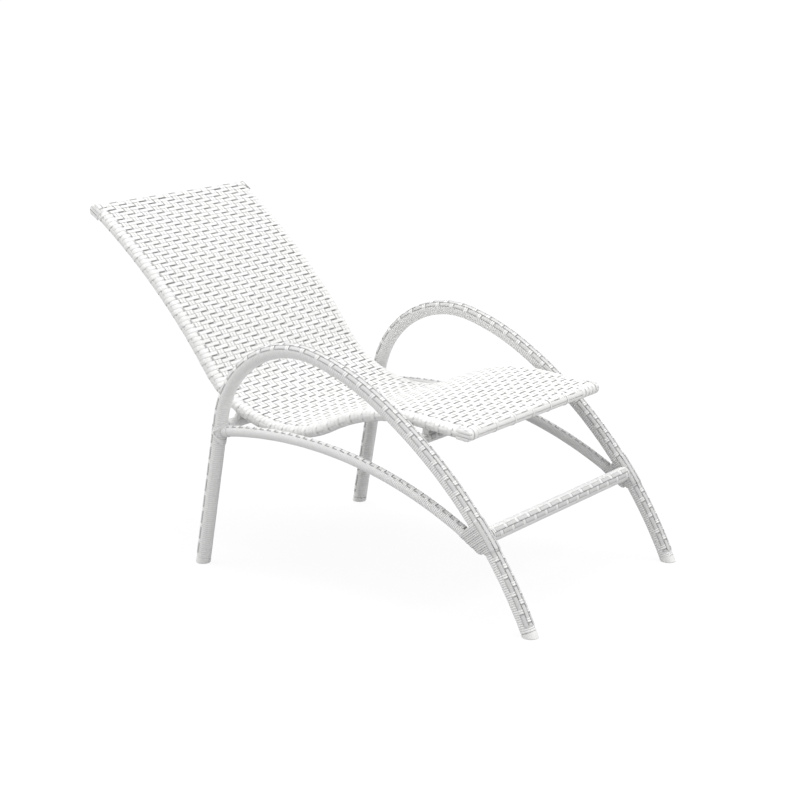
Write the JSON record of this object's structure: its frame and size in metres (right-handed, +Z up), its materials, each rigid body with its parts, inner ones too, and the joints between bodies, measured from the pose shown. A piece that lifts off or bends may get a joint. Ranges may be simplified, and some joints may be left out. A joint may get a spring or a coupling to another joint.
{
  "type": "reclining woven lounge chair",
  "caption": "Low lounge chair with a curved one-piece woven seat and back, hung between looped arm-and-leg side frames wound with flat strip.",
  "frame": {"origin": "middle of the floor rectangle under the chair, on the floor", "axes": "+Z up; the sitter faces -Y, so +Y points to the head end; +X is the sitter's left"},
  "size_m": [0.6768, 1.3026, 0.8334],
  "materials": {
    "frame_tube": "drawn tube, satin",
    "painted_rib": "white powder coat",
    "woven_strip": "white flat plastic strip with fine ribs, satin",
    "wound_strip": "white flat plastic strip with fine ribs, satin",
    "foot_plastic": "white moulded plastic",
    "spacer_plastic": "white moulded plastic",
    "fastener_steel": "stainless"
  },
  "bodies": {
    "root": {"right_arm_leg_tube": "frame_tube", "left_arm_leg_tube": "frame_tube", "right_side_stretcher_tube": "frame_tube", "left_side_stretcher_tube": "frame_tube", "front_crossbar_tube": "frame_tube", "rear_crossbar_tube": "frame_tube", "seat_support_tube": "frame_tube", "shell_front_bar": "frame_tube", "shell_head_bar": "frame_tube", "right_shell_rail": "frame_tube", "left_shell_rail": "frame_tube", "shell_back_rib": "painted_rib", "shell_seat_rib": "painted_rib", "seat_back_weave": "woven_strip", "right_rail_winding": "woven_strip", "left_rail_winding": "woven_strip", "shell_front_binding": "woven_strip", "shell_head_binding": "woven_strip", "right_edge_strip": "woven_strip", "left_edge_strip": "woven_strip", "right_arm_leg_wrap": "wound_strip", "left_arm_leg_wrap": "wound_strip", "right_side_stretcher_wrap": "wound_strip", "left_side_stretcher_wrap": "wound_strip", "front_crossbar_wrap": "wound_strip", "rear_crossbar_wrap": "wound_strip", "seat_support_wrap": "wound_strip", "right_arm_leader_strips": "wound_strip", "left_arm_leader_strips": "wound_strip", "right_front_lashing": "wound_strip", "left_front_lashing": "wound_strip", "front_crossbar_leader_strips": "wound_strip", "right_rear_lashing": "wound_strip", "left_rear_lashing": "wound_strip", "right_rear_foot_cap": "foot_plastic", "left_rear_foot_cap": "foot_plastic", "right_front_foot_cap": "foot_plastic", "left_front_foot_cap": "foot_plastic", "right_rear_shell_spacer": "spacer_plastic", "left_rear_shell_spacer": "spacer_plastic", "right_seat_shell_spacer": "spacer_plastic", "left_seat_shell_spacer": "spacer_plastic", "shell_mounting_screws": "fastener_steel", "shell_rivet_nuts": "fastener_steel"}
  },
  "joints": []
}
